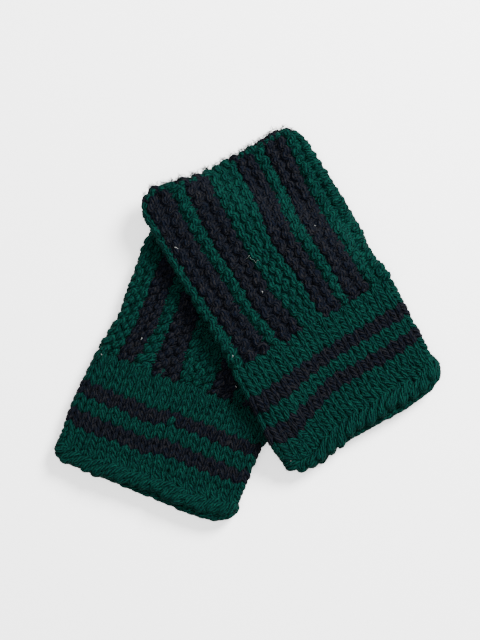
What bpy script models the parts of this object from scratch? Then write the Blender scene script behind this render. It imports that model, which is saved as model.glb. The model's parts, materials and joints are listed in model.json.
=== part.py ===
"""Pair of hand-knitted wrist warmers, laid flat, the right one resting partly on the left one.

Each warmer is one knitted tube, pressed flat so that its front panel lies on its back panel. The hand is a
garter-stitch strip knitted sideways and joined into a tube, so its ridges run from the wrist to the fingers.
The cuff is stocking stitch, picked up round the strip's edge and knitted down, and its cast-off hem curls up.
Lengths are in millimetres in the tables and are turned into metres when a mesh is made. In a warmer's own
frame, `across` runs from its left fold to its right fold and `along` runs from the hem to the finger edge.
"""
import math
from collections import namedtuple

import bmesh
import bpy

MM = 0.001

# Knitting, from the yarn's gauge
RIDGES_ON_FRONT = 16
GARTER_RELIEF = 1.1
STOCKING_RELIEF = 0.5
SEAM_GAP = 0.3

# The flattened tube
PANEL_GAP = 1.0
HAND_HEIGHT = 8.6
CUFF_HEIGHT = 7.6
PICK_UP_HEIGHT = 7.0
PICK_UP_REACH = 7.0
END_ROUND = 1.4

# The hem's curl
CURL_RISE = 2.0

# How the right warmer drapes off the left one
REST_GAP = 0.3
DRAPE_START = 1.5
DRAPE_REACH = 22.0

# Points round a section, counted from fold to fold
POINTS_PER_COLUMN = 3
UNDERSIDE_STEPS = 14
HAND_STATIONS = 13
CUFF_STATIONS = 7

Width = namedtuple("Width", "along left right")
Edge = namedtuple("Edge", "across along")
Curl = namedtuple("Curl", "across strength")
Ring = namedtuple("Ring", "share inset rise")
Warmer = namedtuple("Warmer", "name x y turn pick_up hem_start cuff_columns widths top hem curl support")

LEFT_WARMER = Warmer(
    name="left", x=-33.04, y=-22.00, turn=-22.0, pick_up=-5.5, hem_start=-49.5, cuff_columns=16,
    widths=[
        Width(-64.0, -43.3, 52.0),
        Width(-58.0, -43.1, 52.4),
        Width(-49.0, -42.9, 51.4),
        Width(-39.5, -43.7, 52.1),
        Width(-24.7, -43.5, 51.9),
        Width(-14.8, -42.7, 50.8),
        Width(-5.0, -41.5, 49.0),
        Width(5.0, -39.9, 47.6),
        Width(14.8, -38.3, 47.0),
        Width(24.7, -38.9, 47.4),
        Width(44.5, -39.5, 47.5),
        Width(79.5, -39.5, 47.3),
    ],
    top=[
        Edge(-39.5, 72.0),
        Edge(-37.5, 77.0),
        Edge(-33.0, 79.3),
        Edge(0.0, 79.5),
        Edge(40.0, 79.3),
        Edge(45.0, 77.0),
        Edge(47.3, 72.0),
    ],
    hem=[
        Edge(-43.3, -58.8),
        Edge(-41.5, -62.2),
        Edge(-36.0, -64.0),
        Edge(-10.0, -64.2),
        Edge(18.0, -64.4),
        Edge(36.0, -64.5),
        Edge(44.0, -63.2),
        Edge(49.0, -60.4),
        Edge(52.6, -55.0),
    ],
    curl=[
        Curl(-43.3, 0.55),
        Curl(-20.0, 0.6),
        Curl(0.0, 0.8),
        Curl(49.6, 1.0),
    ],
    support=None,
)

RIGHT_WARMER = Warmer(
    name="right", x=21.36, y=11.63, turn=29.5, pick_up=-15.3, hem_start=-57.5, cuff_columns=15,
    widths=[
        Width(-76.0, -41.2, 48.2),
        Width(-64.0, -41.2, 48.2),
        Width(-54.5, -42.0, 48.0),
        Width(-34.5, -42.5, 47.7),
        Width(-24.7, -42.5, 48.5),
        Width(-14.8, -42.5, 49.2),
        Width(-9.5, -42.5, 50.3),
        Width(-4.0, -42.5, 48.4),
        Width(3.0, -42.5, 47.3),
        Width(14.8, -42.5, 48.9),
        Width(30.0, -42.5, 48.6),
        Width(44.5, -42.5, 47.9),
        Width(60.0, -42.8, 46.8),
        Width(82.0, -43.1, 46.4),
    ],
    top=[
        Edge(-43.1, 68.5),
        Edge(-41.8, 76.0),
        Edge(-38.2, 80.4),
        Edge(-31.5, 82.0),
        Edge(-18.5, 78.9),
        Edge(-12.4, 77.3),
        Edge(9.9, 76.4),
        Edge(32.1, 77.2),
        Edge(39.6, 76.0),
        Edge(43.5, 72.5),
        Edge(46.4, 64.5),
    ],
    hem=[
        Edge(-41.2, -69.0),
        Edge(-38.5, -74.0),
        Edge(-35.5, -77.6),
        Edge(-24.5, -78.4),
        Edge(-21.0, -75.2),
        Edge(0.0, -74.5),
        Edge(26.0, -74.6),
        Edge(38.0, -73.2),
        Edge(45.0, -70.0),
        Edge(48.2, -64.0),
    ],
    curl=[
        Curl(-41.2, 0.2),
        Curl(-24.0, 0.25),
        Curl(-10.0, 0.8),
        Curl(10.0, 1.0),
        Curl(47.8, 1.0),
    ],
    support=LEFT_WARMER,
)

GREEN = (0.004, 0.066, 0.047, 1.0)
CHARCOAL = (0.016, 0.014, 0.016, 1.0)
YARN_ROUGHNESS = 0.9


def read_table(rows, key, value, at):
    """The value at a place in a table, straight between its rows and level beyond its ends."""
    if at <= getattr(rows[0], key):
        return getattr(rows[0], value)
    for low, high in zip(rows, rows[1:]):
        start, end = getattr(low, key), getattr(high, key)
        if at <= end:
            share = (at - start) / (end - start)
            return getattr(low, value) * (1 - share) + getattr(high, value) * share
    return getattr(rows[-1], value)


def height_at(warmer, along):
    """Height of both panels together: garter is thicker than stocking stitch, and the pick-up row draws in."""
    above = along - warmer.pick_up
    full = HAND_HEIGHT if above > 0 else CUFF_HEIGHT
    share = min(1.0, abs(above) / PICK_UP_REACH)
    return PICK_UP_HEIGHT + (full - PICK_UP_HEIGHT) * share * share * (3 - 2 * share)


def to_world(warmer, across, along):
    turn = math.radians(warmer.turn)
    x = warmer.x + across * math.cos(turn) - along * math.sin(turn)
    y = warmer.y + across * math.sin(turn) + along * math.cos(turn)
    return x, y


def to_warmer(warmer, x, y):
    turn = math.radians(warmer.turn)
    x, y = x - warmer.x, y - warmer.y
    return x * math.cos(turn) + y * math.sin(turn), y * math.cos(turn) - x * math.sin(turn)


def floor_under(warmer, x, y):
    """Height of what the warmer lies on: the top of the other warmer, falling to the table outside it."""
    if warmer.support is None:
        return 0.0
    across, along = to_warmer(warmer.support, x, y)
    nearest = min(max(along, warmer.support.hem[0].along), warmer.support.top[2].along)
    left = read_table(warmer.support.widths, "along", "left", nearest)
    right = read_table(warmer.support.widths, "along", "right", nearest)
    aside = max(left - across, 0.0, across - right)
    away = math.hypot(aside, along - nearest)
    share = min(1.0, max(0.0, (away - DRAPE_START) / DRAPE_REACH))
    return (height_at(warmer.support, nearest) + REST_GAP) * (1 - share * share * (3 - 2 * share))


def relief_at(half_turn, columns, relief):
    """Raised columns on the front, from valley to valley, where half_turn runs from fold to fold."""
    phase = (half_turn * columns) % 1.0
    return relief * min(1.0, POINTS_PER_COLUMN * min(phase, 1.0 - phase))


def section_point(left, right, height, half_turn, on_front, inset):
    """Across and height of a point on a flat tube's section, between its left and its right fold."""
    radius = height / 2
    bend = math.pi * radius / 2
    flat = right - left - height
    travelled = half_turn * (flat + 2 * bend)
    out = radius - inset
    if travelled < bend:
        angle = travelled / radius
        across, up = left + radius - out * math.cos(angle), out * math.sin(angle)
    elif travelled > bend + flat:
        angle = (2 * bend + flat - travelled) / radius
        across, up = right - radius + out * math.cos(angle), out * math.sin(angle)
    else:
        across, up = left + radius + travelled - bend, out
    return across, radius + (up if on_front else -up)


def ring_points(warmer, start, end, ring, columns, relief, inner):
    """One ring of a node's outer or inner face, from the left fold over the front and back underneath."""
    front_steps = columns * (1 if inner else POINTS_PER_COLUMN)
    steps = [(i / front_steps, True) for i in range(front_steps)]
    steps += [(1 - i / UNDERSIDE_STEPS, False) for i in range(UNDERSIDE_STEPS)]
    points = []
    middle = start(0.0) + ring.share * (end(0.0) - start(0.0))
    left = read_table(warmer.widths, "along", "left", middle)
    right = read_table(warmer.widths, "along", "right", middle)
    height = height_at(warmer, middle) - relief
    wall = (height - PANEL_GAP) / 2
    for half_turn, on_front in steps:
        inset = wall if inner else ring.inset
        raised = 0.0
        if on_front and not inner:
            across, up = section_point(left, right, height, half_turn, True, 0.0)
            strength = read_table(warmer.curl, "across", "strength", across)
            curled = ring.rise * strength * math.sin(math.pi * half_turn) ** 0.25
            raised = relief_at(half_turn, columns, relief) + curled
        across, up = section_point(left, right, height, half_turn, on_front, inset - raised)
        along = start(across) + ring.share * (end(across) - start(across))
        x, y = to_world(warmer, across, along)
        points.append((x, y, up + floor_under(warmer, x, y)))
    return points


def bridge(mesh, one, other):
    """Faces between two closed rings of the same number of points."""
    for i in range(len(one)):
        j = (i + 1) % len(one)
        mesh.faces.new((one[i], one[j], other[j], other[i]))


def close_end(mesh, outer, inner, columns):
    """The wall's own edge, between an outer ring with several points to a column and an inner ring with one."""
    at = 0
    for i in range(len(inner)):
        j = (i + 1) % len(inner)
        steps = POINTS_PER_COLUMN if i < columns else 1
        for step in range(steps):
            corner = inner[i] if step < (steps + 1) // 2 else inner[j]
            mesh.faces.new((outer[at], outer[(at + 1) % len(outer)], corner))
            at += 1
            if step == (steps - 1) // 2:
                mesh.faces.new((inner[i], outer[at % len(outer)], inner[j]))


def tube_node(name, warmer, start, end, rings, columns, relief, material):
    """A wall round the flattened tube, from the line `start` to the line `end`, as one closed mesh."""
    mesh = bmesh.new()
    outer = []
    inner = []
    for ring in rings:
        points = ring_points(warmer, start, end, ring, columns, relief, inner=False)
        outer.append([mesh.verts.new((x * MM, y * MM, z * MM)) for x, y, z in points])
        points = ring_points(warmer, start, end, ring, columns, relief, inner=True)
        inner.append([mesh.verts.new((x * MM, y * MM, z * MM)) for x, y, z in points])
    for faces in (outer, inner):
        for one, other in zip(faces, faces[1:]):
            bridge(mesh, one, other)
    close_end(mesh, outer[0], inner[0], columns)
    close_end(mesh, outer[-1], inner[-1], columns)
    bmesh.ops.recalc_face_normals(mesh, faces=mesh.faces)
    data = bpy.data.meshes.new(name)
    mesh.to_mesh(data)
    mesh.free()
    data.materials.append(material)
    data.shade_smooth()
    data.set_sharp_from_angle(angle=math.radians(50))
    node = bpy.data.objects.new(name, data)
    bpy.context.collection.objects.link(node)
    return node


def yarn_material(name, colour):
    material = bpy.data.materials.new(name)
    material.use_nodes = True
    shader = material.node_tree.nodes["Principled BSDF"]
    shader.inputs["Base Color"].default_value = colour
    shader.inputs["Roughness"].default_value = YARN_ROUGHNESS
    shader.inputs["Metallic"].default_value = 0.0
    return material


def even_rings(count):
    return [Ring(i / (count - 1), 0.0, 0.0) for i in range(count)]


def rounded_end(length):
    """Rings that round the wall's free edge, over the last of a stretch of this length."""
    return [
        Ring(1 - END_ROUND / length, 0.0, 0.0),
        Ring(1 - 0.4 * END_ROUND / length, 0.3 * END_ROUND, 0.0),
        Ring(1.0, END_ROUND, 0.0),
    ]


def build_hand(warmer):
    """Sideways garter strip: sixteen ridges show on the front, from the pick-up row to the finger edge."""
    length = warmer.top[len(warmer.top) // 2].along - warmer.pick_up
    return tube_node(
        warmer.name + "_hand", warmer,
        start=lambda across: warmer.pick_up + SEAM_GAP / 2,
        end=lambda across: read_table(warmer.top, "across", "along", across),
        rings=even_rings(HAND_STATIONS)[:-1] + rounded_end(length),
        columns=RIDGES_ON_FRONT,
        relief=GARTER_RELIEF,
        material=yarn_material(warmer.name + "_hand_yarn", CHARCOAL),
    )


def build_cuff(warmer):
    """Stocking-stitch tube below the pick-up row, with its columns of stitches raised a little."""
    return tube_node(
        warmer.name + "_cuff", warmer,
        start=lambda across: warmer.pick_up - SEAM_GAP / 2,
        end=lambda across: warmer.hem_start + SEAM_GAP / 2,
        rings=even_rings(CUFF_STATIONS),
        columns=warmer.cuff_columns,
        relief=STOCKING_RELIEF,
        material=yarn_material(warmer.name + "_cuff_yarn", GREEN),
    )


def build_hem(warmer):
    """Last rows and cast-off edge, which curl up towards the front as stocking stitch does."""
    rings = [
        Ring(0.0, 0.0, 0.0),
        Ring(0.22, 0.0, 0.1 * CURL_RISE),
        Ring(0.40, 0.0, 0.65 * CURL_RISE),
        Ring(0.62, 0.0, CURL_RISE),
        Ring(0.84, 0.0, 0.8 * CURL_RISE),
        Ring(0.96, 0.3 * END_ROUND, 0.3 * CURL_RISE),
        Ring(1.0, END_ROUND, 0.0),
    ]
    return tube_node(
        warmer.name + "_hem", warmer,
        start=lambda across: warmer.hem_start - SEAM_GAP / 2,
        end=lambda across: read_table(warmer.hem, "across", "along", across),
        rings=rings,
        columns=warmer.cuff_columns,
        relief=STOCKING_RELIEF,
        material=yarn_material(warmer.name + "_hem_yarn", GREEN),
    )


for old in list(bpy.data.objects):
    bpy.data.objects.remove(old, do_unlink=True)

for warmer in (LEFT_WARMER, RIGHT_WARMER):
    build_hand(warmer)
    build_cuff(warmer)
    build_hem(warmer)
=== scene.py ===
import json
import math
from collections import namedtuple

import bpy
import numpy as np
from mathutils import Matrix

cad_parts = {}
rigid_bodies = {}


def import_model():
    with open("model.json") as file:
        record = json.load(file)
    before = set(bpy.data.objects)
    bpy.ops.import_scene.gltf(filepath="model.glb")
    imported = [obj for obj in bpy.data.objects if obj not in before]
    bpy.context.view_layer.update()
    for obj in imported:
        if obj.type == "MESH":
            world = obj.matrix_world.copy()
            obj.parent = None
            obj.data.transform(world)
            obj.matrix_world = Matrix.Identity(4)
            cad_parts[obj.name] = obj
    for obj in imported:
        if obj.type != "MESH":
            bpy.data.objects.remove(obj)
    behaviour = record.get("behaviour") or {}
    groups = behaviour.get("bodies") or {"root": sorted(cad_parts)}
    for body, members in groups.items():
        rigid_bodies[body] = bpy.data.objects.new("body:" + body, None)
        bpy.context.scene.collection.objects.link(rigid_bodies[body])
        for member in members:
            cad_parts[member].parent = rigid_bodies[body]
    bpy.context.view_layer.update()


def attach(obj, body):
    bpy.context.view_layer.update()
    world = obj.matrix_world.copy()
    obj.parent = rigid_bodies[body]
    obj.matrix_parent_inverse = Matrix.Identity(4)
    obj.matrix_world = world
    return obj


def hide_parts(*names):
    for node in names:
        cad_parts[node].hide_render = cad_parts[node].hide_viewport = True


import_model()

MM = 0.001

# Camera
# The photo looks straight down on the pair, and one of its pixels is 0.4945 mm of the surface.
PHOTO_WIDE = 480
PHOTO_HIGH = 640
PIXEL = 0.4945 * MM
PHOTO_ORIGIN_X = 246.8
PHOTO_ORIGIN_Y = 325.5
CAMERA_HEIGHT = 0.95

camera = bpy.data.objects.new("camera", bpy.data.cameras.new("camera"))
bpy.context.collection.objects.link(camera)
camera.location = (
    (PHOTO_WIDE / 2 - PHOTO_ORIGIN_X) * PIXEL,
    (PHOTO_ORIGIN_Y - PHOTO_HIGH / 2) * PIXEL,
    CAMERA_HEIGHT,
)
camera.data.sensor_width = 36.0
camera.data.lens = camera.data.sensor_width * CAMERA_HEIGHT / (PHOTO_HIGH * PIXEL)
bpy.context.scene.camera = camera

# How the two warmers lie
# Each is one knitted tube pressed flat, so its front panel lies on its back panel. The left warmer is on the
# table, and the right one lies partly on it and drapes down to the table. `across` runs from a warmer's left
# fold to its right fold and `along` from its hem to its finger edge, in millimetres.
HAND_HEIGHT = 8.6
CUFF_HEIGHT = 7.6
PICK_UP_HEIGHT = 7.0
PICK_UP_REACH = 7.0
REST_GAP = 0.3
DRAPE_START = 1.5
DRAPE_REACH = 22.0
HEM_LENGTH = 15.0
CURL_RISE = 1.6
CURL_PEAK = 1.4
FOLD_EASE = 0.25

Width = namedtuple("Width", "along left right")
Edge = namedtuple("Edge", "across along")
Curl = namedtuple("Curl", "across strength")
Stripe = namedtuple("Stripe", "ridge edges")
Round = namedtuple("Round", "count left right")
Warmer = namedtuple(
    "Warmer",
    "name x y turn support columns widths top pick_up hem curl "
    "ridge_start stripes rounds turn_from turn_to chain",
)

LEFT_WARMER = Warmer(
    name="left", x=-33.04, y=-22.00, turn=-22.0, support=None, columns=32,
    widths=[
        Width(-64.0, -43.3, 52.0),
        Width(-58.0, -43.1, 52.8),
        Width(-52.8, -43.0, 53.4),
        Width(-50.2, -42.9, 51.5),
        Width(-39.5, -43.7, 52.1),
        Width(-24.7, -43.5, 51.9),
        Width(-19.0, -43.0, 52.6),
        Width(-14.8, -42.8, 54.0),
        Width(-5.0, -41.9, 53.0),
        Width(5.0, -41.0, 50.0),
        Width(14.8, -39.0, 48.0),
        Width(24.7, -39.7, 47.6),
        Width(44.5, -40.4, 47.5),
        Width(79.5, -40.4, 47.3),
    ],
    top=[
        Edge(-40.4, 72.0),
        Edge(-38.2, 77.0),
        Edge(-33.0, 79.3),
        Edge(0.0, 79.5),
        Edge(40.0, 79.3),
        Edge(45.0, 77.0),
        Edge(47.3, 72.0),
    ],
    pick_up=[
        Edge(-42.0, -5.5),
        Edge(-22.0, -6.2),
        Edge(-7.0, -7.6),
        Edge(10.0, -5.0),
        Edge(25.0, -4.4),
        Edge(49.0, -5.5),
    ],
    hem=[
        Edge(-43.3, -58.8),
        Edge(-41.5, -62.2),
        Edge(-36.0, -64.0),
        Edge(-10.0, -64.2),
        Edge(18.0, -64.4),
        Edge(36.0, -64.5),
        Edge(44.0, -63.2),
        Edge(49.0, -60.4),
        Edge(52.6, -55.0),
    ],
    curl=[
        Curl(-43.3, 0.55),
        Curl(-20.0, 0.6),
        Curl(0.0, 0.8),
        Curl(49.6, 1.0),
    ],
    ridge_start=1,
    stripes=[
        Stripe(2, (-30.6, -28.4, -29.0, -29.0, -28.4)),
        Stripe(4, (-23.6, -18.6, -19.6, -19.0, -17.5)),
        Stripe(5, (-13.2, -12.4, -13.0, -13.0, -13.0)),
        Stripe(7, (1.4, -0.6, -2.0, -1.0, -0.3)),
        Stripe(10, (17.5, 17.6, 17.0, 16.8, 16.8)),
        Stripe(12, (29.0, 28.8, 28.6, 28.6, 28.6)),
        Stripe(13, (35.0, 34.6, 34.2, 34.2, 34.2)),
        Stripe(15, (45.6, 45.2, 44.8, 44.8, 44.8)),
    ],
    rounds=[
        Round(0, -5.5, -5.0),
        Round(4, -21.9, -19.6),
        Round(6, -29.1, -26.2),
        Round(8, -36.5, -34.0),
        Round(10, -44.7, -41.6),
        Round(13, -54.0, -53.0),
        Round(17, -64.2, -64.2),
    ],
    turn_from=-3.0, turn_to=7.0,
    chain=[
        Edge(-43.3, -55.5),
        Edge(-36.0, -59.4),
        Edge(-18.0, -59.2),
        Edge(-4.0, -57.8),
        Edge(10.0, -56.4),
        Edge(36.0, -56.2),
        Edge(46.0, -54.6),
        Edge(52.6, -50.5),
    ],
)

RIGHT_WARMER = Warmer(
    name="right", x=21.36, y=11.63, turn=29.5, support=LEFT_WARMER, columns=30,
    widths=[
        Width(-76.0, -42.6, 48.0),
        Width(-66.0, -43.0, 49.0),
        Width(-61.5, -43.2, 49.6),
        Width(-57.0, -43.8, 47.7),
        Width(-50.0, -43.6, 48.7),
        Width(-34.5, -42.8, 48.8),
        Width(-24.7, -42.6, 49.3),
        Width(-14.8, -42.6, 49.8),
        Width(-9.5, -42.6, 50.7),
        Width(-4.0, -42.6, 48.9),
        Width(3.0, -42.6, 48.0),
        Width(14.8, -42.6, 49.6),
        Width(30.0, -42.6, 49.4),
        Width(44.5, -42.6, 48.7),
        Width(60.0, -42.8, 47.5),
        Width(82.0, -43.1, 46.8),
    ],
    top=[
        Edge(-43.1, 68.5),
        Edge(-41.8, 76.0),
        Edge(-38.2, 80.4),
        Edge(-31.5, 82.0),
        Edge(-18.5, 78.9),
        Edge(-12.4, 77.3),
        Edge(9.9, 76.4),
        Edge(32.1, 77.2),
        Edge(39.6, 76.0),
        Edge(43.5, 72.5),
        Edge(46.4, 64.5),
    ],
    pick_up=[
        Edge(-42.5, -15.5),
        Edge(-28.0, -14.8),
        Edge(-9.0, -18.0),
        Edge(2.0, -16.0),
        Edge(15.0, -14.0),
        Edge(31.0, -13.4),
        Edge(49.0, -14.0),
    ],
    hem=[
        Edge(-42.8, -67.4),
        Edge(-40.5, -70.8),
        Edge(-36.5, -74.6),
        Edge(-31.0, -76.6),
        Edge(-26.0, -76.8),
        Edge(-21.5, -74.4),
        Edge(0.0, -74.4),
        Edge(26.0, -74.6),
        Edge(38.0, -73.2),
        Edge(45.0, -70.6),
        Edge(49.4, -64.0),
    ],
    curl=[
        Curl(-41.2, 0.2),
        Curl(-24.0, 0.25),
        Curl(-10.0, 0.8),
        Curl(10.0, 1.0),
        Curl(47.8, 1.0),
    ],
    ridge_start=2,
    stripes=[
        Stripe(1, (-33.8, -35.7, -38.1, -39.3, -39.0)),
        Stripe(3, (-19.4, -23.0, -24.2, -25.6, -24.5)),
        Stripe(4, (-13.2, -17.0, -18.2, -19.0, -17.5)),
        Stripe(6, (-0.4, -5.5, -6.7, -6.5, -5.5)),
        Stripe(9, (9.5, 8.7, 6.0, 9.2, 9.8)),
        Stripe(11, (20.2, 18.9, 17.0, 19.0, 19.5)),
        Stripe(12, (24.6, 24.7, 23.3, 25.1, 25.6)),
        Stripe(14, (37.5, 35.2, 34.2, 35.5, 37.7)),
    ],
    rounds=[
        Round(0, -15.6, -14.2),
        Round(4, -31.2, -27.8),
        Round(6, -40.1, -34.6),
        Round(8, -48.6, -41.7),
        Round(10, -57.8, -48.6),
        Round(13, -66.6, -60.6),
        Round(17, -75.0, -74.5),
    ],
    turn_from=-36.0, turn_to=4.0,
    chain=[
        Edge(-42.8, -67.0),
        Edge(-37.0, -71.5),
        Edge(-26.0, -73.4),
        Edge(-17.0, -70.5),
        Edge(-6.0, -67.5),
        Edge(10.0, -66.8),
        Edge(36.0, -66.4),
        Edge(48.2, -60.5),
    ],
)
WARMERS = (LEFT_WARMER, RIGHT_WARMER)


def read(rows, key, value, at):
    """Values at places in a table, straight between its rows and level beyond its ends."""
    return np.interp(at, [getattr(row, key) for row in rows], [getattr(row, value) for row in rows])


def smooth(share):
    share = np.clip(share, 0.0, 1.0)
    return share * share * (3 - 2 * share)


def height_at(warmer, across, along):
    """Height of both panels together: garter is the thicker stitch, and the pick-up row draws in."""
    above = along - read(warmer.pick_up, "across", "along", across)
    full = np.where(above > 0, HAND_HEIGHT, CUFF_HEIGHT)
    return PICK_UP_HEIGHT + (full - PICK_UP_HEIGHT) * smooth(np.abs(above) / PICK_UP_REACH)


def to_world(warmer, across, along):
    turn = math.radians(warmer.turn)
    x = warmer.x + across * math.cos(turn) - along * math.sin(turn)
    y = warmer.y + across * math.sin(turn) + along * math.cos(turn)
    return x, y


def from_world(warmer, x, y):
    turn = math.radians(warmer.turn)
    x, y = x - warmer.x, y - warmer.y
    return x * math.cos(turn) + y * math.sin(turn), y * math.cos(turn) - x * math.sin(turn)


def floor_under(warmer, x, y):
    """Height of what the warmer lies on: the top of the other warmer, falling to the table outside it."""
    if warmer.support is None:
        return np.zeros_like(x)
    below = warmer.support
    across, along = from_world(below, x, y)
    nearest = np.clip(along, below.hem[0].along, below.top[2].along)
    left = read(below.widths, "along", "left", nearest)
    right = read(below.widths, "along", "right", nearest)
    aside = np.maximum(np.maximum(left - across, 0.0), across - right)
    away = np.hypot(aside, along - nearest)
    fall = smooth((away - DRAPE_START) / DRAPE_REACH)
    return (height_at(below, 0.0 * across, nearest) + REST_GAP) * (1 - fall)


def lay(warmer, half_turn, side, along, lift, keep_off=0.0):
    """World points, in mm, on the laid tube: `half_turn` from the left to the right fold, `side` 1 in front
    and -1 underneath, `lift` out from the middle of the cloth, and at least `keep_off` above the table."""
    left = read(warmer.widths, "along", "left", along)
    right = read(warmer.widths, "along", "right", along)
    across = left + (right - left) * half_turn
    height = height_at(warmer, across, along)
    radius = height / 4
    bend = math.pi * radius / 2
    flat = right - left - height
    travelled = half_turn * (flat + 2 * bend)
    above_hem = along - read(warmer.hem, "across", "along", across)
    curl = np.sin(math.pi * np.clip(1 - above_hem / HEM_LENGTH, 0.0, 1.0) ** CURL_PEAK)
    curl = curl * CURL_RISE * read(warmer.curl, "across", "strength", across) * (side > 0)
    out = radius + lift + curl * np.sin(math.pi * half_turn) ** FOLD_EASE
    start = np.clip(travelled / radius, 0.0, math.pi / 2)
    end = np.clip((2 * bend + flat - travelled) / radius, 0.0, math.pi / 2)
    across = left + height / 2 + np.clip(travelled - bend, 0.0, flat) + out * (np.cos(end) - np.cos(start))
    up = np.maximum(height / 2 + side * out * np.minimum(np.sin(start), np.sin(end)), keep_off)
    x, y = to_world(warmer, across, along)
    return np.stack([x, y, up + floor_under(warmer, x, y)], axis=-1)


# Inside faces of the tubes
# Behind the stitches that show, the hand is one strip of garter stitch 64 rows round and the cuff one tube of
# stocking stitch. This thin layer is the cloth's own body, and the yarn of every stitch lies round it. Its
# near-black navy colour is painted shade, which shows through the gaps between the stitches.
EDGE_INSIDE = 2.4
HAND_GROUND_LIFT = -1.2
GROUND_AROUND = 120
GROUND_THICKNESS = 0.5
GROUND_OFF_TABLE = 1.2
HAND_RINGS = 30
HAND_GROUND_END = 0.985
CUFF_RINGS = 20
CUFF_GROUND_END = 16.5
HAND_LENGTH = 90.0
EASE_FROM = 8.0
EASE_OVER = 8.0
# Painted shade: the ground's colour is the near-black navy of the shadow between stitches, not the yarn's
# colour.
GROUND_SHADE_COLOUR = (0.0005, 0.0022, 0.0042, 1.0)


def tube_mesh(name, warmer, alongs, lift):
    """A tube round one warmer, with a ring of faces between each two rows of `alongs` (ring, place round)."""
    half = GROUND_AROUND // 2
    there = np.linspace(0.0, 1.0, half, endpoint=False)
    half_turn = np.concatenate([there, 1.0 - there])
    side = np.concatenate([np.ones(half), -np.ones(half)])
    corners = []
    for along in alongs(half_turn):
        corners.append(lay(warmer, half_turn, side, along, lift, keep_off=GROUND_OFF_TABLE))
    rings = len(corners)
    faces = []
    for ring in range(rings - 1):
        for i in range(GROUND_AROUND):
            j = (i + 1) % GROUND_AROUND
            low = ring * GROUND_AROUND
            faces.append((low + i, low + j, low + GROUND_AROUND + j, low + GROUND_AROUND + i))
    mesh = bpy.data.meshes.new(name)
    mesh.from_pydata(np.concatenate(corners) * MM, [], faces)
    mesh.shade_smooth()
    piece = bpy.data.objects.new(name, mesh)
    bpy.context.collection.objects.link(piece)
    return piece


def finish_wall(piece, thickness):
    """Gives a single layer its thickness, both ways from its middle, and closes its ends."""
    bpy.ops.object.select_all(action="DESELECT")
    piece.select_set(True)
    bpy.context.view_layer.objects.active = piece
    bpy.ops.object.mode_set(mode="EDIT")
    bpy.ops.mesh.select_all(action="SELECT")
    bpy.ops.mesh.normals_make_consistent(inside=False)
    bpy.ops.object.mode_set(mode="OBJECT")
    wall = piece.modifiers.new("wall", "SOLIDIFY")
    wall.thickness = thickness
    wall.offset = 0.0
    bpy.ops.object.modifier_apply(modifier=wall.name)


# Material of the ground: painted shade, a flat near-black navy with a fine bump.
ground_material = bpy.data.materials.new("inner_cloth")
ground_material.use_nodes = True
ground_shader = ground_material.node_tree.nodes["Principled BSDF"]
ground_shader.inputs["Base Color"].default_value = GROUND_SHADE_COLOUR
ground_shader.inputs["Roughness"].default_value = 1.0
ground_shader.inputs["Specular IOR Level"].default_value = 0.1
ground_noise = ground_material.node_tree.nodes.new("ShaderNodeTexNoise")
ground_place = ground_material.node_tree.nodes.new("ShaderNodeTexCoord")
ground_bump = ground_material.node_tree.nodes.new("ShaderNodeBump")
ground_noise.inputs["Scale"].default_value = 900.0
ground_bump.inputs["Distance"].default_value = 0.0004
ground_links = ground_material.node_tree.links
ground_links.new(ground_place.outputs["Object"], ground_noise.inputs["Vector"])
ground_links.new(ground_noise.outputs["Fac"], ground_bump.inputs["Height"])
ground_links.new(ground_bump.outputs["Normal"], ground_shader.inputs["Normal"])


def across_at(warmer, half_turn, along):
    left = read(warmer.widths, "along", "left", along)
    right = read(warmer.widths, "along", "right", along)
    return left + (right - left) * half_turn


def hand_along(warmer, half_turn, share):
    """Along a hand tube, from the pick-up row at share 0 to the finger edge at share 1."""
    across = across_at(warmer, half_turn, warmer.pick_up[0].along + share * HAND_LENGTH)
    low = read(warmer.pick_up, "across", "along", across)
    high = read(warmer.top, "across", "along", across) - EDGE_INSIDE
    return low + share * (high - low)


def cuff_along(warmer, half_turn, count):
    """Along a cuff tube, counted in rounds from the pick-up row at 0 to the cast-off edge at 17."""
    across = across_at(warmer, half_turn, warmer.hem[0].along)
    turned = smooth((across - warmer.turn_from) / (warmer.turn_to - warmer.turn_from))
    left = read(warmer.rounds, "count", "left", count)
    right = read(warmer.rounds, "count", "right", count)
    along = left + (right - left) * turned
    edge = warmer.rounds[-1].left + (warmer.rounds[-1].right - warmer.rounds[-1].left) * turned
    short = read(warmer.hem, "across", "along", across) - edge
    return along + short * np.clip((count - EASE_FROM) / EASE_OVER, 0.0, 1.2)


grounds = {}
for warmer in WARMERS:
    hand = tube_mesh(
        warmer.name + "_hand_ground", warmer,
        lambda half_turn: [hand_along(warmer, half_turn, share)
                           for share in np.linspace(0.0, HAND_GROUND_END, HAND_RINGS)],
        lift=HAND_GROUND_LIFT,
    )
    cuff = tube_mesh(
        warmer.name + "_cuff_ground", warmer,
        lambda half_turn: [cuff_along(warmer, half_turn, count)
                           for count in np.linspace(0.0, CUFF_GROUND_END, CUFF_RINGS)],
        lift=0.0,
    )
    for piece in (hand, cuff):
        finish_wall(piece, GROUND_THICKNESS * MM)
        piece.data.materials.append(ground_material)
        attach(piece, "root")
        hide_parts(piece.name.replace("_ground", ""))
    grounds[warmer.name] = (hand, cuff)


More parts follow.
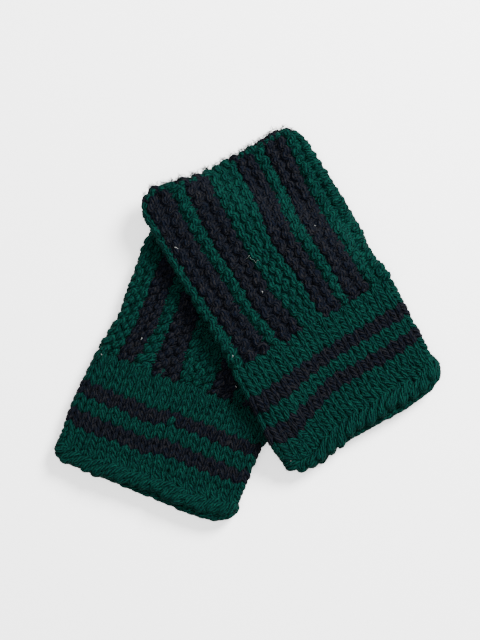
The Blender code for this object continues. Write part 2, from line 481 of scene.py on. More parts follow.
# Worsted yarn
# The yarn is matt, slightly fuzzy wool of seven soft plies that make one turn in 18 mm. Its own map runs once
# round the yarn and once for each millimetre of its length, so the plies follow every bend.
PLIES = 7.0
PLY_TURN = 18.0
PLY_ROUND = 0.7
PLY_STRAY = 0.9
STRAY_SCALE = 700.0
FIBRES_A_PLY = 3.0
FIBRE_STRETCH = 0.45
MOTTLE_SCALE = 620.0
PLY_TONE = 0.85
FIBRE_TONE = 1.8
MOTTLE_TONE = 1.2
TONE_FROM = 1.62
FIBRE_HEIGHT = 1.2
FLATTENED = 0.82
YARN_MAP = "yarn_map"
BAKE_MAP = "OFBake"


def add_socket(group, name, kind, way, value=None):
    socket = group.interface.new_socket(name=name, in_out=way, socket_type=kind)
    if value is not None:
        socket.default_value = value


def worsted_group():
    """Node group for plied wool: colour and height from the plies, the fibres and the dye's unevenness. The
    colour runs from a painted shade in the creases between plies, through the dye, to a painted highlight on
    their crowns.
    """
    group = bpy.data.node_groups.new("worsted_plies", "ShaderNodeTree")
    add_socket(group, "Dye", "NodeSocketColor", "INPUT", (0.0, 0.1, 0.06, 1.0))
    add_socket(group, "Crease", "NodeSocketColor", "INPUT", (0.0, 0.02, 0.015, 1.0))
    add_socket(group, "Lit", "NodeSocketColor", "INPUT", (0.02, 0.16, 0.1, 1.0))
    add_socket(group, "Colour", "NodeSocketColor", "OUTPUT")
    add_socket(group, "Height", "NodeSocketFloat", "OUTPUT")
    nodes = group.nodes
    links = group.links
    given = nodes.new("NodeGroupInput")
    result = nodes.new("NodeGroupOutput")
    yarn_map = nodes.new("ShaderNodeUVMap")
    yarn_map.uv_map = YARN_MAP
    place = nodes.new("ShaderNodeTexCoord")
    split = nodes.new("ShaderNodeSeparateXYZ")
    links.new(yarn_map.outputs["UV"], split.inputs["Vector"])

    def math_node(operation, first, second):
        node = nodes.new("ShaderNodeMath")
        node.operation = operation
        for socket, value in zip(node.inputs, (first, second)):
            if isinstance(value, (int, float)):
                socket.default_value = value
            elif value is not None:
                links.new(value, socket)
        return node.outputs["Value"]

    def noise_node(place, scale, detail):
        node = nodes.new("ShaderNodeTexNoise")
        node.inputs["Scale"].default_value = scale
        node.inputs["Detail"].default_value = detail
        links.new(place, node.inputs["Vector"])
        return node.outputs["Fac"]

    turns = math_node("MULTIPLY", split.outputs["X"], PLIES)
    lay_turns = math_node("MULTIPLY", split.outputs["Y"], -PLIES / PLY_TURN)
    strayed = math_node("MULTIPLY", noise_node(place.outputs["Object"], STRAY_SCALE, 1.0), PLY_STRAY)
    phase = math_node("ADD", math_node("ADD", turns, lay_turns), strayed)
    wave = math_node("ABSOLUTE", math_node("SINE", math_node("MULTIPLY", phase, math.pi), None), None)
    ply = math_node("POWER", wave, PLY_ROUND)
    fibre_place = nodes.new("ShaderNodeCombineXYZ")
    links.new(math_node("MULTIPLY", phase, FIBRES_A_PLY), fibre_place.inputs["X"])
    links.new(math_node("MULTIPLY", split.outputs["Y"], FIBRE_STRETCH), fibre_place.inputs["Y"])
    fibres = noise_node(fibre_place.outputs["Vector"], 1.0, 3.0)
    mottle = noise_node(place.outputs["Object"], MOTTLE_SCALE, 2.0)
    fibre_tone = math_node("MULTIPLY", fibres, FIBRE_TONE)
    loose = math_node("ADD", fibre_tone, math_node("MULTIPLY", mottle, MOTTLE_TONE))
    # Painted shade and highlight: the tone is low in the creases between plies, where the colour goes to the
    # crease shade, and high on the ply crowns, where it goes to the lit colour; the fibre and mottle noise
    # vary it at random.
    tone = math_node("ADD", math_node("MULTIPLY", ply, PLY_TONE), math_node("SUBTRACT", loose, TONE_FROM))
    half_tone = nodes.new("ShaderNodeMath")
    half_tone.operation = "MULTIPLY"
    half_tone.use_clamp = True
    half_tone.inputs[1].default_value = 2.0
    links.new(tone, half_tone.inputs[0])
    top_tone = nodes.new("ShaderNodeMath")
    top_tone.operation = "MULTIPLY_ADD"
    top_tone.use_clamp = True
    top_tone.inputs[1].default_value = 2.0
    top_tone.inputs[2].default_value = -1.0
    links.new(tone, top_tone.inputs[0])
    creased = nodes.new("ShaderNodeMix")
    creased.data_type = "RGBA"
    links.new(half_tone.outputs["Value"], creased.inputs["Factor"])
    links.new(given.outputs["Crease"], creased.inputs["A"])
    links.new(given.outputs["Dye"], creased.inputs["B"])
    lit = nodes.new("ShaderNodeMix")
    lit.data_type = "RGBA"
    links.new(top_tone.outputs["Value"], lit.inputs["Factor"])
    links.new(creased.outputs["Result"], lit.inputs["A"])
    links.new(given.outputs["Lit"], lit.inputs["B"])
    links.new(lit.outputs["Result"], result.inputs["Colour"])
    height = math_node("ADD", ply, math_node("MULTIPLY", fibres, FIBRE_HEIGHT))
    links.new(height, result.inputs["Height"])
    return group


worsted = worsted_group()


def yarn_material(name, dye, crease, lit, sheen):
    material = bpy.data.materials.new(name)
    material.use_nodes = True
    nodes = material.node_tree.nodes
    links = material.node_tree.links
    shader = nodes["Principled BSDF"]
    plies = nodes.new("ShaderNodeGroup")
    plies.node_tree = worsted
    plies.inputs["Dye"].default_value = dye
    plies.inputs["Crease"].default_value = crease
    plies.inputs["Lit"].default_value = lit
    bump = nodes.new("ShaderNodeBump")
    bump.inputs["Strength"].default_value = 1.0
    bump.inputs["Distance"].default_value = 0.0008
    links.new(plies.outputs["Colour"], shader.inputs["Base Color"])
    links.new(plies.outputs["Height"], bump.inputs["Height"])
    links.new(bump.outputs["Normal"], shader.inputs["Normal"])
    shader.inputs["Roughness"].default_value = 0.88
    shader.inputs["Specular IOR Level"].default_value = 0.03
    shader.inputs["Sheen Weight"].default_value = sheen
    shader.inputs["Sheen Roughness"].default_value = 0.45
    shader.inputs["Sheen Tint"].default_value = lit
    return material


# Each yarn has its dye colour, a darker painted-shade colour for the ply creases and a lighter
# painted-highlight colour for the ply crowns.
GREEN_YARN = yarn_material(
    "green_yarn",
    dye=(0.0003, 0.0144, 0.0114, 1.0),
    crease=(0.0, 0.0044, 0.0062, 1.0),
    lit=(0.0007, 0.0248, 0.0171, 1.0),
    sheen=0.25,
)
CHARCOAL_YARN = yarn_material(
    "charcoal_yarn",
    dye=(0.0022, 0.0032, 0.0058, 1.0),
    crease=(0.0006, 0.0017, 0.0054, 1.0),
    lit=(0.0082, 0.0078, 0.0084, 1.0),
    sheen=0.2,
)

Strand = namedtuple("Strand", "points outward radius sides closed")


def lay_strand(warmer, half_turn, side, along, lift, radius, sides, closed):
    """One length of yarn on a warmer, from the places of its middle."""
    keep_off = radius * FLATTENED
    points = lay(warmer, half_turn, side, along, lift, keep_off)
    outward = lay(warmer, half_turn, side, along, lift + 0.5, keep_off) - points
    length = np.linalg.norm(outward, axis=1, keepdims=True)
    upright = np.stack([0 * half_turn, 0 * half_turn, side + 0 * half_turn], axis=-1)
    outward = np.where(length > 0.05, outward / np.maximum(length, 1e-6), upright)
    return Strand(points, outward, np.broadcast_to(radius, half_turn.shape), sides, closed)


def unit(vectors):
    return vectors / np.maximum(np.linalg.norm(vectors, axis=-1, keepdims=True), 1e-9)


def yarn_piece(name, strands, material):
    """One mesh of many lengths of yarn, each a closed tube, flattened a little against the cloth. Each length
    has its own strip of the bake map, with a small gap round it."""
    corners, faces, maps, bakes, caps, cap_bakes = [], [], [], [], [], []
    first = 0
    for number, strand in enumerate(strands):
        points = strand.points
        count, sides = len(points), strand.sides
        if strand.closed:
            ahead = np.roll(points, -1, axis=0) - np.roll(points, 1, axis=0)
        else:
            ahead = np.gradient(points, axis=0)
        ahead = unit(ahead)
        aside = unit(np.cross(ahead, strand.outward))
        out = np.cross(aside, ahead)
        angles = np.arange(sides) * 2 * math.pi / sides
        ring = aside[:, None, :] * np.cos(angles)[None, :, None]
        ring = ring + FLATTENED * out[:, None, :] * np.sin(angles)[None, :, None]
        corners.append((points[:, None, :] + ring * strand.radius[:, None, None]).reshape(-1, 3))
        steps = np.linalg.norm(np.diff(points, axis=0, append=points[:1]), axis=1)
        travelled = np.concatenate([[0.0], np.cumsum(steps)])
        last = count if strand.closed else count - 1
        ring_from = np.arange(last)[:, None]
        ring_to = (ring_from + 1) % count
        side_from = np.arange(sides)[None, :]
        side_to = (side_from + 1) % sides
        quads = [ring_from * sides + side_from, ring_from * sides + side_to,
                 ring_to * sides + side_to, ring_to * sides + side_from]
        faces.append(first + np.stack(np.broadcast_arrays(*quads), axis=-1).reshape(-1, 4))
        near = travelled[:last][:, None] + 0.0 * side_from
        far = travelled[1:last + 1][:, None] + 0.0 * side_from
        turn_from = side_from / sides + 0.0 * ring_from
        turn_to = (side_from + 1) / sides + 0.0 * ring_from
        uv = [turn_from, near, turn_to, near, turn_to, far, turn_from, far]
        maps.append(np.stack(uv, axis=-1).reshape(-1, 8))
        low = (number + 0.05 + 0.9 * turn_from) / len(strands)
        high = (number + 0.05 + 0.9 * turn_to) / len(strands)
        left = 0.01 + 0.98 * ring_from / last + 0.0 * side_from
        right = 0.01 + 0.98 * (ring_from + 1) / last + 0.0 * side_from
        bakes.append(np.stack([left, low, left, high, right, high, right, low], axis=-1).reshape(-1, 8))
        if not strand.closed:
            start = first + np.arange(sides)
            caps.append((start[::-1], start + (count - 1) * sides))
            middle = (number + 0.5) / len(strands)
            for end in (0.005, 0.995):
                cap_u = end + 0.004 * np.cos(angles)
                cap_v = middle + 0.4 / len(strands) * np.sin(angles)
                cap_bakes.append(np.stack([cap_u, cap_v], axis=-1))
        first += count * sides
    corners = np.concatenate(corners) * MM
    faces = np.concatenate(faces)
    caps = [cap for pair in caps for cap in pair]
    sizes = np.concatenate([np.full(len(faces), 4), [len(cap) for cap in caps]]).astype(int)
    starts = np.concatenate([[0], np.cumsum(sizes)[:-1]])
    loops = np.concatenate([faces.ravel()] + caps)
    mesh = bpy.data.meshes.new(name)
    mesh.vertices.add(len(corners))
    mesh.vertices.foreach_set("co", corners.ravel())
    mesh.loops.add(len(loops))
    mesh.loops.foreach_set("vertex_index", loops.astype(np.int32))
    mesh.polygons.add(len(sizes))
    mesh.polygons.foreach_set("loop_start", starts.astype(np.int32))
    yarn_map = np.zeros((len(loops), 2))
    yarn_map[:len(faces) * 4] = np.concatenate(maps).reshape(-1, 2)
    mesh.uv_layers.new(name=YARN_MAP).uv.foreach_set("vector", yarn_map.ravel())
    bake_map = np.concatenate([np.concatenate(bakes).reshape(-1, 2)] + cap_bakes)
    mesh.uv_layers.new(name=BAKE_MAP).uv.foreach_set("vector", bake_map.ravel())
    mesh.update(calc_edges=True)
    mesh.shade_smooth()
    mesh.materials.append(material)
    piece = bpy.data.objects.new(name, mesh)
    bpy.context.collection.objects.link(piece)
    return piece


# Garter-stitch hands
# Each hand is knitted sideways, 16 stitches long and 64 rows round, so its 32 ridges run up the hand. Every
# ridge is a knit row whose loops' heads come forward and a purl row whose sinkers do, locked together.
RIDGES = 32
HAND_STITCHES = 16
GARTER_LOOP = 0.84
GARTER_SQUARE = 0.50
GARTER_BULGE = 0.36
GARTER_SLANT = 0.30
FRONT_LIFT = 0.62
LEG_LIFT = -0.45
BACK_LIFT = -1.10
HAND_YARN = 1.98
HAND_STEPS = 18
TURN_OUT = 0.010
YARN_UNEVEN = 0.05
UNDER_STEPS = 10
STRIPE_RIDGES = (3, 2, 1, 2)
STRIPE_SHARES = (0.0, 0.25, 0.5, 0.75, 1.0)
CARRIED_SHARE = 0.995
CARRIED_STEPS = 8
CARRIED_PAST = 0.2
CARRIED_SWING = 0.008

Uneven = namedtuple("Uneven", "loop rows stitch lift")
GARTER_UNEVEN = Uneven(loop=0.05, rows=0.10, stitch=0.07, lift=0.12)

chance = np.random.default_rng(7)


def uneven(places, spacing, amount):
    """Gentle unevenness along a row, one random value for each stitch-sized stretch."""
    knots = np.arange(-2, int(places.max() / spacing) + 4) * spacing
    return np.interp(places, knots, chance.normal(0.0, amount, len(knots)))


def stripe_is_green(ridge, start):
    """Three green ridges, two charcoal, one green and two charcoal, repeated round the hand."""
    place = (ridge + start) % sum(STRIPE_RIDGES)
    return place < STRIPE_RIDGES[0] or place == STRIPE_RIDGES[0] + STRIPE_RIDGES[1]


def ridge_half_turn(warmer, ridge, share):
    """Where a place counted in ridges from the left fold lies between the folds, in front or underneath."""
    half = RIDGES // 2
    along = warmer.pick_up[0].along + share * HAND_LENGTH
    left = read(warmer.widths, "along", "left", along)
    right = read(warmer.widths, "along", "right", along)
    bend = math.pi * HAND_HEIGHT / 8
    whole = right - left - HAND_HEIGHT + 2 * bend
    places = [0.0 * share]
    for stripe in warmer.stripes:
        across = np.interp(share, STRIPE_SHARES, stripe.edges)
        places.append((bend + across - left - HAND_HEIGHT / 2) / whole)
    places = np.stack(places + [1.0 + 0.0 * share])
    counts = np.array([0] + [stripe.ridge for stripe in warmer.stripes] + [half])
    low = np.clip(np.searchsorted(counts, ridge, side="right") - 1, 0, len(counts) - 2)
    part = (ridge - counts[low]) / (counts[low + 1] - counts[low])
    point = np.arange(len(share))
    front = (1 - part) * places[low, point] + part * places[low + 1, point]
    under = 1.0 - (ridge - half) / half
    return np.where(ridge <= half, front, under)


def garter_row(warmer, row, steps):
    """Places of one row's yarn: round the tube in ridges, along as a share of the hand, and its lift."""
    angle = np.linspace(0.0, 2 * math.pi * HAND_STITCHES, HAND_STITCHES * steps + 1)
    purl = row % 2
    loop = GARTER_LOOP * (1 + uneven(angle, math.pi, GARTER_UNEVEN.loop))
    reach = np.sign(np.cos(angle)) * np.abs(np.cos(angle)) ** GARTER_SQUARE
    rows_up = row + 0.5 - loop * reach + GARTER_SLANT * np.sin(2 * angle) / 2
    ridge = (rows_up + uneven(angle, math.pi, GARTER_UNEVEN.rows)) / 2
    stitch = angle / (2 * math.pi) + GARTER_BULGE / (2 * math.pi) * np.sin(2 * angle)
    stitch = stitch + uneven(angle, math.pi, GARTER_UNEVEN.stitch)
    forward = np.cos(angle) * (1 if purl else -1)
    front = np.maximum(forward, 0.0) ** 1.3
    back = np.maximum(-forward, 0.0)
    lift = LEG_LIFT + (FRONT_LIFT - LEG_LIFT) * front + (BACK_LIFT - LEG_LIFT) * back
    return ridge, stitch / HAND_STITCHES, lift + uneven(angle, math.pi, GARTER_UNEVEN.lift)


def garter_strand(warmer, rows, steps, sides):
    """The yarn of some rows of one colour, knitted forth and back with a turn at each edge."""
    ridges, shares, lifts, swells = [], [], [], []
    for number, row in enumerate(rows):
        ridge, share, lift = garter_row(warmer, row, steps)
        if number % 2:
            ridge, share, lift = ridge[::-1], share[::-1], lift[::-1]
        ridges.append(ridge)
        shares.append(share)
        lifts.append(lift)
        swells.append(0.96 + 0.05 * lift)
        if number + 1 < len(rows):
            out = TURN_OUT if number % 2 == 0 else -TURN_OUT
            turn = np.linspace(0.0, 1.0, 6)[1:-1]
            next_ridge = garter_row(warmer, row + 1, steps)[0][-1 if number % 2 == 0 else 0]
            ridges.append(ridge[-1] + (next_ridge - ridge[-1]) * turn)
            shares.append(share[-1] + out * np.sin(math.pi * turn))
            lifts.append(lift[-1] * (1 - turn))
            swells.append(0.94 + 0.0 * turn)
    ridge = np.concatenate(ridges) % RIDGES
    share = np.concatenate(shares)
    lift = np.concatenate(lifts)
    half_turn = np.clip(ridge_half_turn(warmer, ridge, share), 0.0, 1.0)
    side = np.where(ridge <= RIDGES / 2, 1.0, -1.0)
    along = hand_along(warmer, half_turn, share)
    swell = np.concatenate(swells)
    radius = HAND_YARN * (swell + uneven(np.arange(len(ridge)) * 1.0, 7.0, YARN_UNEVEN))
    return lay_strand(warmer, half_turn, side, along, lift, radius, sides, closed=False)


def carried_yarn(warmer, first, last):
    """The green yarn where it is carried up the finger edge, past the charcoal ridges, to its next stripe."""
    count = int((last - first + 2 * CARRIED_PAST) * CARRIED_STEPS)
    ridge = np.linspace(first - CARRIED_PAST, last + CARRIED_PAST, count)
    wave = np.cos(math.pi * 4 * ridge)
    share = CARRIED_SHARE + CARRIED_SWING * wave + uneven(ridge, 0.5, CARRIED_SWING / 2)
    half_turn = np.clip(ridge_half_turn(warmer, ridge, np.minimum(share, 1.0)), 0.0, 1.0)
    side = np.where(ridge <= RIDGES / 2, 1.0, -1.0)
    lift = 0.35 + 0.5 * wave + uneven(ridge, 0.5, 0.2)
    radius = HAND_YARN * (0.80 + 0.08 * wave)
    along = hand_along(warmer, half_turn, share)
    return lay_strand(warmer, half_turn, side, along, lift, radius, 6, closed=False)


yarns = {}
for warmer in WARMERS:
    lengths = {True: [], False: []}
    for ridge in range(1, RIDGES):
        if stripe_is_green(ridge - 1, warmer.ridge_start) and not stripe_is_green(ridge, warmer.ridge_start):
            if ridge + 2 <= RIDGES // 2 or ridge >= RIDGES // 2:
                lengths[True].append(carried_yarn(warmer, ridge, min(ridge + 2, RIDGES - 1)))
    for ridge in range(RIDGES):
        front = ridge < RIDGES // 2 or ridge == RIDGES - 1
        green = stripe_is_green(ridge, warmer.ridge_start)
        steps = HAND_STEPS if front else UNDER_STEPS
        lengths[green].append(garter_strand(warmer, (2 * ridge, 2 * ridge + 1), steps, 7 if front else 5))
    for green, material in ((True, GREEN_YARN), (False, CHARCOAL_YARN)):
        colour = "green" if green else "charcoal"
        piece = yarn_piece(warmer.name + "_hand_" + colour, lengths[green], material)
        yarns[warmer.name, colour, "hand"] = lengths[green]
        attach(piece, "root")
        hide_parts(warmer.name + "_hand")


# Stocking-stitch cuffs
# Stitches picked up round the hand's lower edge are knitted down in rounds, so each shows as two legs that
# spread towards the hem. Two charcoal bands of two rounds each have two green rounds between them.
CUFF_ROUNDS = 14
CHARCOAL_ROUNDS = (4, 5, 8, 9)
STOCKING_LOOP = 1.02
STOCKING_BULGE = 1.30
STOCKING_DEPTH = 0.90
CUFF_YARN = 1.56
CUFF_STEPS = 16
PICK_UP_LENGTHS = {"left": (2.5, 6.0), "right": (0.5, 3.2)}
PICK_UP_SLANT = {"left": 0.55, "right": 0.20}
PICK_UP_FROM = (0.1, 0.4)
PICK_UP_ROUND = 1.6
PICK_UP_BASE = 4.0
PICK_UP_ARCH = 1.9
UNDER_SHARE = 0.6
JOIN_NUBS = {"left": ((5, 8),), "right": ()}
NUB_SPAN = (0.16, 0.40)
NUB_RAISED = 0.65
STOCKING_UNEVEN = Uneven(loop=0.05, rows=0.09, stitch=0.045, lift=0.18)


def round_tube(around):
    """Where a share of the way round a tube lies: how far between its folds, and on which side."""
    return np.where(around < 0.5, 2 * around, 2 - 2 * around), np.where(around < 0.5, 1.0, -1.0)


def stocking_yarn(warmer, count, angle, raised, closed):
    """Yarn of one round of the cuff, or of a few of its stitches, a full turn of `angle` to each stitch."""
    loop = STOCKING_LOOP * (1 + uneven(angle, math.pi, STOCKING_UNEVEN.loop))
    down = count + 0.5 - loop * np.cos(angle) + uneven(angle, 2 * math.pi, STOCKING_UNEVEN.rows)
    stitch = angle / (2 * math.pi) + STOCKING_BULGE / (2 * math.pi) * np.sin(2 * angle)
    stitch = stitch + uneven(angle, math.pi, STOCKING_UNEVEN.stitch)
    half_turn, side = round_tube((stitch / warmer.columns) % 1.0)
    lift = raised - STOCKING_DEPTH * np.cos(2 * angle) + uneven(angle, math.pi, STOCKING_UNEVEN.lift)
    along = cuff_along(warmer, half_turn, down)
    swell = 0.95 - 0.13 * np.cos(2 * angle)
    radius = CUFF_YARN * (swell + uneven(np.arange(len(angle)) * 1.0, 8.0, YARN_UNEVEN))
    return lay_strand(warmer, half_turn, side, along, lift, radius, 6, closed)


def stocking_round(warmer, count):
    angle = np.arange(warmer.columns * CUFF_STEPS) * 2 * math.pi / CUFF_STEPS
    return stocking_yarn(warmer, count, angle, 0.0, closed=True)


def join_nub(warmer, count, column):
    """A nub of green in the charcoal, where a new round's yarn begins a step away from the old one."""
    angle = np.linspace(column + NUB_SPAN[0], column + NUB_SPAN[1], 6) * 2 * math.pi
    return stocking_yarn(warmer, count, angle, NUB_RAISED, closed=False)


def picked_up_stitch(warmer, column):
    """A long slanted leg that joins the first round to the hand's edge, between two of its ridges."""
    way = np.linspace(0.0, 1.0, 9)
    reach = chance.uniform(*PICK_UP_LENGTHS[warmer.name])
    start = column + chance.uniform(*PICK_UP_FROM)
    half_turn, side = round_tube((start + PICK_UP_SLANT[warmer.name] * way) / warmer.columns % 1.0)
    low = cuff_along(warmer, half_turn, PICK_UP_ROUND + 0.0 * way)
    along = low + (reach + PICK_UP_BASE) * way * (1 if side[0] > 0 else UNDER_SHARE)
    lift = -0.3 + PICK_UP_ARCH * np.sin(math.pi * way) ** 0.7
    radius = CUFF_YARN * (0.80 + 0.10 * np.sin(math.pi * way))
    return lay_strand(warmer, half_turn, side, along, lift, radius, 6, closed=False)


for warmer in WARMERS:
    lengths = {True: [], False: []}
    for count in range(CUFF_ROUNDS):
        lengths[count not in CHARCOAL_ROUNDS].append(stocking_round(warmer, count))
    for column in range(warmer.columns):
        lengths[True].append(picked_up_stitch(warmer, column))
    for count, column in JOIN_NUBS[warmer.name]:
        lengths[True].append(join_nub(warmer, count, column))
    for green, material in ((True, GREEN_YARN), (False, CHARCOAL_YARN)):
        colour = "green" if green else "charcoal"
        piece = yarn_piece(warmer.name + "_cuff_" + colour, lengths[green], material)
        yarns[warmer.name, colour, "cuff"] = lengths[green]
        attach(piece, "root")
        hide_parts(warmer.name + "_cuff")


# Cast-off hems
# The last rounds curl up towards the front, so the edge is a soft roll that shows the knitting's purl side.
# The loose cast-off chain, whose links are big and slanted, lies along the roll's inner side.
ROLL_ROWS = 3
ROLL_FIRST = 2.5
ROLL_STEP = 2.2
ROLL_WAVES = (0.12, 0.40, 0.55)
ROLL_YARN = 1.62
ROLL_STEPS = 10
LINK_LONG = 4.8
LINK_WIDE = 1.25
LINK_SLANT = math.radians(33)
LINK_YARN = 1.65
LINK_LIFT = 2.1
LINK_STEPS = 20
LINK_UNEVEN = Uneven(loop=0.10, rows=0.5, stitch=0.14, lift=0.25)
ROLL_ROW_UNEVEN = 0.16
ROLL_LIFT_UNEVEN = 0.14
WIDTH_FLAT = 90.0


def roll_row(warmer, number):
    """One row of the roll's purl side, all round the edge, in low waves."""
    angle = np.arange(warmer.columns * ROLL_STEPS) * 2 * math.pi / ROLL_STEPS
    stitch = angle / (2 * math.pi) + 0.08 * np.sin(2 * angle)
    half_turn, side = round_tube(stitch / warmer.columns % 1.0)
    across = across_at(warmer, half_turn, warmer.hem[0].along)
    inside = ROLL_FIRST + ROLL_STEP * number + ROLL_WAVES[number] * np.cos(angle + math.pi * number)
    along = read(warmer.hem, "across", "along", across) + inside + uneven(angle, math.pi, ROLL_ROW_UNEVEN)
    lift = 0.15 * number + 0.25 * np.cos(2 * angle) + uneven(angle, math.pi, ROLL_LIFT_UNEVEN)
    radius = ROLL_YARN * (1.0 + 0.06 * np.cos(2 * angle))
    return lay_strand(warmer, half_turn, side, along, lift, radius, 7, closed=True)


def chain_link(warmer, place, side):
    """One link of the chain, a long slanted loop whose upper end dips under the next link."""
    angle = np.linspace(0.0, 2 * math.pi, LINK_STEPS, endpoint=False)
    slant = LINK_SLANT + chance.normal(0.0, LINK_UNEVEN.stitch)
    length = LINK_LONG * (1 + chance.normal(0.0, LINK_UNEVEN.loop))
    ahead = length * np.cos(angle)
    wide = LINK_WIDE * np.sin(angle)
    aside = ahead * math.cos(slant) - wide * math.sin(slant)
    up = ahead * math.sin(slant) + wide * math.cos(slant)
    half_turn = np.clip(place + aside / WIDTH_FLAT, 0.0, 1.0)
    across = across_at(warmer, half_turn, warmer.hem[0].along)
    along = read(warmer.chain, "across", "along", across) + up + chance.normal(0.0, LINK_UNEVEN.rows)
    inside = np.sin(math.pi * half_turn) ** 0.5
    tilt = 0.3 * np.sin(angle) - 0.9 * np.cos(angle)
    lift = (LINK_LIFT + tilt + chance.normal(0.0, LINK_UNEVEN.lift)) * inside
    return lay_strand(warmer, half_turn, side + 0 * angle, along, lift, LINK_YARN + 0 * angle, 7, closed=True)


for warmer in WARMERS:
    links = [roll_row(warmer, number) for number in range(ROLL_ROWS)]
    for column in range(warmer.columns):
        place, side = round_tube((column + 0.5) / warmer.columns)
        links.append(chain_link(warmer, place, side))
    piece = yarn_piece(warmer.name + "_cast_off", links, GREEN_YARN)
    yarns[warmer.name, "green", "hem"] = links
    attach(piece, "root")
    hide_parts(warmer.name + "_hem")


# Loose fibres
# Wool sheds short fibres all over, far finer than the yarn and in its colour, which curl just above the cloth
# and blur its edges. At the finger edges rubbing has brushed them up, so they stand out as a soft fringe.
FIBRES = 5200
FIBRE_RADIUS = 0.055
FIBRE_LENGTHS = (1.2, 4.5)
FIBRE_STEPS = 5
ROOT_DEPTH = 0.8
FIBRE_LEAN = 0.35
FIBRE_CURL = 0.45
FIBRE_STRAY = 0.25
FIBRE_FALL = 0.06
CHARCOAL_SHARE = 0.75
PART_SHARES = {"hand": 0.32, "cuff": 0.24, "hem": 0.12}
EDGE_FIBRES = 380
EDGE_BAND = 2.6
EDGE_PULL = 5.0
EDGE_RADIUS = 0.10


def loose_fibre(root, outward, thick):
    """A short curl of fibre from a yarn's surface."""
    length = chance.uniform(*FIBRE_LENGTHS)
    heading = unit(chance.normal(0.0, 1.0, 3) + FIBRE_LEAN * outward)
    bend = unit(chance.normal(0.0, 1.0, 3))
    points = [root]
    for _ in range(FIBRE_STEPS - 1):
        points.append(points[-1] + heading * length / FIBRE_STEPS)
        stray = chance.normal(0.0, FIBRE_STRAY, 3)
        heading = unit(heading + FIBRE_CURL * bend + stray - FIBRE_FALL * outward)
    points = np.array(points)
    points[:, 2] = np.maximum(points[:, 2], thick)
    radius = thick * np.linspace(1.0, 0.35, FIBRE_STEPS)
    return Strand(points, np.broadcast_to(unit(np.cross(heading, bend)), points.shape), radius, 3, False)


def fuzz_piece(name, strands, count, material):
    """Fibres from random places of a part's yarn, more of them from the upper side."""
    points = np.concatenate([strand.points for strand in strands])
    outward = np.concatenate([strand.outward for strand in strands])
    upper = np.flatnonzero(outward[:, 2] > -0.3)
    fibres = []
    for place in chance.choice(upper, count):
        direction = unit(outward[place] + chance.normal(0.0, 0.5, 3))
        root = points[place] + direction * CUFF_YARN * ROOT_DEPTH
        fibres.append(loose_fibre(root, outward[place], FIBRE_RADIUS))
    return yarn_piece(name, fibres, material)


for (name, colour, part), strands in yarns.items():
    share = 1.0 if colour == "green" else CHARCOAL_SHARE
    count = int(FIBRES * share * PART_SHARES[part])
    material = GREEN_YARN if colour == "green" else CHARCOAL_YARN
    piece = fuzz_piece(f"{name}_{part}_{colour}_fibres", strands, count, material)
    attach(piece, "root")


def edge_fibres(warmer, strands):
    """Fibres that stand out from a hand's finger edge, from the yarn of one colour."""
    points = np.concatenate([strand.points for strand in strands])
    across, along = from_world(warmer, points[:, 0], points[:, 1])
    edge = np.flatnonzero(along > read(warmer.top, "across", "along", across) - EDGE_BAND)
    turn = math.radians(warmer.turn)
    outward = np.array([-math.sin(turn), math.cos(turn), 0.0])
    fibres = []
    for place in chance.choice(edge, EDGE_FIBRES):
        fibres.append(loose_fibre(points[place] + outward * HAND_YARN, outward * EDGE_PULL, EDGE_RADIUS))
    return fibres


for warmer in WARMERS:
    for colour, material in (("green", GREEN_YARN), ("charcoal", CHARCOAL_YARN)):
        fibres = edge_fibres(warmer, yarns[warmer.name, colour, "hand"])
        piece = yarn_piece(f"{warmer.name}_hand_{colour}_edge_fibres", fibres, material)
        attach(piece, "root")


# Lint
# A few pale specks and one curled hair of lint cling to the upper side, as on any wool that has been carried.
LINT_RADIUS = 0.13
Speck = namedtuple("Speck", "warmer across along length")
SPECKS = (
    Speck(RIGHT_WARMER, -36.4, 50.0, 1.2),
    Speck(RIGHT_WARMER, -10.2, 10.9, 1.0),
    Speck(RIGHT_WARMER, -38.6, -9.1, 0.8),
    Speck(RIGHT_WARMER, 28.9, 26.4, 0.6),
    Speck(RIGHT_WARMER, -39.1, -67.7, 1.3),
    Speck(LEFT_WARMER, -23.8, 7.5, 0.9),
    Speck(LEFT_WARMER, 29.0, 3.0, 0.9),
    Speck(LEFT_WARMER, -39.1, -7.1, 0.6),
)
HAIR = Speck(RIGHT_WARMER, -6.4, 27.1, 6.7)
HAIR_WAVE = 1.8
HAIR_RADIUS = LINT_RADIUS * 0.20
HAIR_STEPS = 24


def on_top(warmer, across, along, lift):
    """Points above a warmer's front panel, from places across and along it."""
    left = read(warmer.widths, "along", "left", along)
    right = read(warmer.widths, "along", "right", along)
    return lay(warmer, (across - left) / (right - left), 1.0 + 0 * across, along, lift)


def lint_strand(points, radius, sides):
    return Strand(points, np.tile([0.0, 0.0, 1.0], (len(points), 1)), radius, sides, False)


lint_strands = []
for speck in SPECKS:
    way = np.linspace(0.0, 1.0, 5)
    bend = chance.uniform(-1.0, 1.0, 2)
    across = speck.across + speck.length * (way - 0.5) * bend[0] + 0.3 * np.sin(3 * way)
    along = speck.along + speck.length * (way - 0.5) * bend[1] + 0.3 * np.cos(4 * way)
    points = on_top(speck.warmer, across, along, 3.1 + 0.2 * np.sin(math.pi * way))
    lint_strands.append(lint_strand(points, LINT_RADIUS * (1.6 - way), sides=5))
way = np.linspace(0.0, 1.0, HAIR_STEPS)
level = HAIR.length * (way - 0.5) + 0.8 * np.sin(4 * math.pi * way)
rise = HAIR_WAVE * np.sin(2 * math.pi * way)
lean = math.radians(HAIR.warmer.turn)
across = HAIR.across + level * math.cos(lean) + rise * math.sin(lean)
along = HAIR.along - level * math.sin(lean) + rise * math.cos(lean)
points = on_top(HAIR.warmer, across, along, 3.2 + 0.3 * np.sin(5 * way))
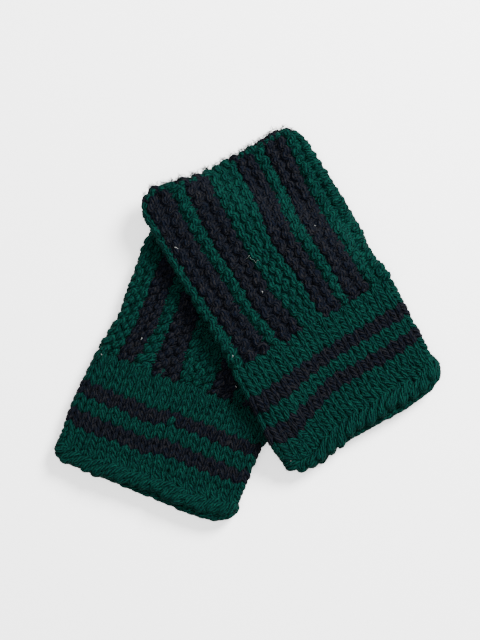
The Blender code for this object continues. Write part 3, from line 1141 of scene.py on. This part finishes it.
lint_strands.append(lint_strand(points, HAIR_RADIUS + 0.0 * way, sides=4))

lint_material = bpy.data.materials.new("lint")
lint_material.use_nodes = True
lint_shader = lint_material.node_tree.nodes["Principled BSDF"]
lint_shader.inputs["Roughness"].default_value = 0.8
lint_noise = lint_material.node_tree.nodes.new("ShaderNodeTexNoise")
lint_place = lint_material.node_tree.nodes.new("ShaderNodeTexCoord")
lint_mix = lint_material.node_tree.nodes.new("ShaderNodeMix")
lint_mix.data_type = "RGBA"
lint_mix.inputs["A"].default_value = (0.05, 0.06, 0.06, 1.0)
lint_mix.inputs["B"].default_value = (0.24, 0.24, 0.22, 1.0)
lint_noise.inputs["Scale"].default_value = 600.0
lint_links = lint_material.node_tree.links
lint_links.new(lint_place.outputs["Object"], lint_noise.inputs["Vector"])
lint_links.new(lint_noise.outputs["Fac"], lint_mix.inputs["Factor"])
lint_links.new(lint_mix.outputs["Result"], lint_shader.inputs["Base Color"])
lint = yarn_piece("lint", lint_strands, lint_material)
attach(lint, "root")


# Surface and light
# A plain white surface and soft light from the upper right, as in the photo.
bpy.ops.object.select_all(action="DESELECT")
bpy.ops.mesh.primitive_plane_add(size=6.0, location=(0.0, 0.0, -0.0005))
table = bpy.context.active_object
table.name = "surface"
table_material = bpy.data.materials.new("white_surface")
table_material.use_nodes = True
table_shader = table_material.node_tree.nodes["Principled BSDF"]
table_shader.inputs["Base Color"].default_value = (0.92, 0.92, 0.92, 1.0)
table_shader.inputs["Roughness"].default_value = 0.9
table_shader.inputs["Specular IOR Level"].default_value = 0.0
table_shader.inputs["Emission Color"].default_value = (1.0, 1.0, 1.0, 1.0)
table_shader.inputs["Emission Strength"].default_value = 0.88
table.data.materials.append(table_material)


def soft_light(name, place, size, watts):
    light = bpy.data.lights.new(name, "AREA")
    light.shape = "DISK"
    light.size = size
    light.energy = watts
    lamp = bpy.data.objects.new(name, light)
    bpy.context.collection.objects.link(lamp)
    lamp.location = place
    lamp.rotation_euler = (-lamp.location).to_track_quat("-Z", "Y").to_euler()


soft_light("window", (0.66, 0.72, 0.78), 0.5, 68.0)
soft_light("ceiling", (-0.3, -0.2, 1.9), 1.6, 36.0)
world = bpy.data.worlds.new("room")
bpy.context.scene.world = world
world.use_nodes = True
world.node_tree.nodes["Background"].inputs["Color"].default_value = (1.0, 1.0, 1.0, 1.0)
world.node_tree.nodes["Background"].inputs["Strength"].default_value = 0.75

# Sheets of cloth
# The hand and the cuff of each warmer are tubes of knitted cloth. The loop below only gathers the yarn pieces
# round each cuff and its cast-off.
for warmer in WARMERS:
    hand, cuff = grounds[warmer.name]
    yarn = [o for o in bpy.data.objects if o.name.startswith(warmer.name + "_hand_") and o != hand]
    yarn = [o for o in bpy.data.objects if o.name.startswith(warmer.name + "_cuff_") and o != cuff]
    yarn.append(bpy.data.objects[warmer.name + "_cast_off"])
